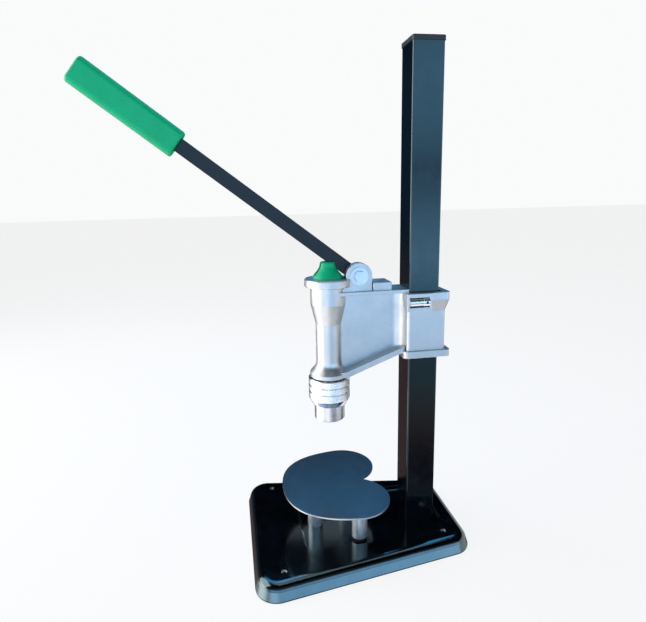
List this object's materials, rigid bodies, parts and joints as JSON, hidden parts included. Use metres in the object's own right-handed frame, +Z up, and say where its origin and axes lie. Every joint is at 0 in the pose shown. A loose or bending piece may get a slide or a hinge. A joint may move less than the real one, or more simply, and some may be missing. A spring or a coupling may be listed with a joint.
{
  "type": "bench crimping press",
  "caption": "Bench press with a square column, a sliding cast head, a hand lever with a grip, a spring-returned ram with a crimping bell, and a heart-shaped stand on posts.",
  "frame": {"origin": "on the ram's axis, in the bench plane under the base's rubber trim", "axes": "+Z up along the ram axis and the column, +Y from the ram towards the column, so the lever points to -Y, and +X to the side that has the lock cam's pocket"},
  "size_m": [0.2326, 0.4658, 0.648],
  "materials": {
    "black_enamel": "glossy black stoved enamel",
    "column_enamel": "glossy black enamel on square tube",
    "cast_aluminium": "satin tumbled casting",
    "bright_steel": "bright nickel plate",
    "polished_steel": "polished stainless sheet",
    "zinc_steel": "zinc-plated fastener",
    "spring_steel": "drawn spring wire",
    "lever_paint": "satin blue-black paint on flat bar",
    "green_plastic": "glossy moulded plastic",
    "bronze": "sintered bronze",
    "black_rubber": "matt rubber",
    "grey_plastic": "moulded end plug",
    "magnet": "nickel-plated magnet",
    "white_nylon": "nylon guide strip"
  },
  "bodies": {
    "base": {"base_pan": "black_enamel", "edge_trim": "black_rubber", "column": "column_enamel", "column_foot_block": "zinc_steel", "column_clamp_plate": "zinc_steel", "column_bolts": "zinc_steel", "column_cap": "grey_plastic", "heart_plate": "polished_steel", "stand_posts": "bright_steel", "post_pads": "black_rubber", "plate_studs": "zinc_steel", "post_screws": "zinc_steel", "post_washers": "zinc_steel"},
    "head": {"head_casting": "cast_aluminium", "ram_bush": "bronze", "gib_plate": "white_nylon", "gib_screws": "zinc_steel", "pivot_bolt": "zinc_steel", "pivot_nut": "zinc_steel", "pivot_washers": "zinc_steel", "return_spring": "spring_steel"},
    "lever": {"lever_bar": "lever_paint", "lever_bush": "bronze", "lever_grip": "green_plastic"},
    "ram": {"ram_rod": "bright_steel", "ram_cap": "green_plastic", "bell_holder": "bright_steel", "bell": "bright_steel", "plunger_spring": "spring_steel"},
    "ring": {"knurled_ring": "bright_steel"},
    "ejector": {"magnet_plunger": "zinc_steel", "cap_magnet": "magnet", "plunger_clip": "spring_steel"},
    "lock": {"lock_cam": "bright_steel"}
  },
  "joints": [
    {"name": "head_slide", "type": "slide", "parent": "base", "child": "head", "axis": [0, 0, 1], "range_m": [-0.07, 0.29]},
    {"name": "lever_hinge", "type": "hinge", "parent": "head", "child": "lever", "pos_m": [0, 0.0375, 0.365], "axis": [1, 0, 0], "range_deg": [0, 30.7]},
    {"name": "ram_slide", "type": "slide", "parent": "head", "child": "ram", "axis": [0, 0, -1], "range_m": [0, 0.0215], "stiffness_N_per_m": 1690, "springref_m": -0.032, "deforming": ["return_spring"]},
    {"name": "ring_turn", "type": "hinge", "parent": "ram", "child": "ring", "pos_m": [0, 0, 0.217], "axis": [0, 0, 1], "range_deg": [0, 360]},
    {"name": "ejector_slide", "type": "slide", "parent": "ram", "child": "ejector", "axis": [0, 0, 1], "range_m": [0, 0.0044], "stiffness_N_per_m": 1900, "springref_m": -0.002, "deforming": ["plunger_spring"]},
    {"name": "lock_turn", "type": "hinge", "parent": "head", "child": "lock", "pos_m": [0.0264, 0.113, 0.3295], "axis": [0, 1, 0], "range_deg": [0, 90]}
  ],
  "couplings": [
    {"joint": "ram_slide", "follows": "lever_hinge", "m_per_rad": 0.04}
  ]
}
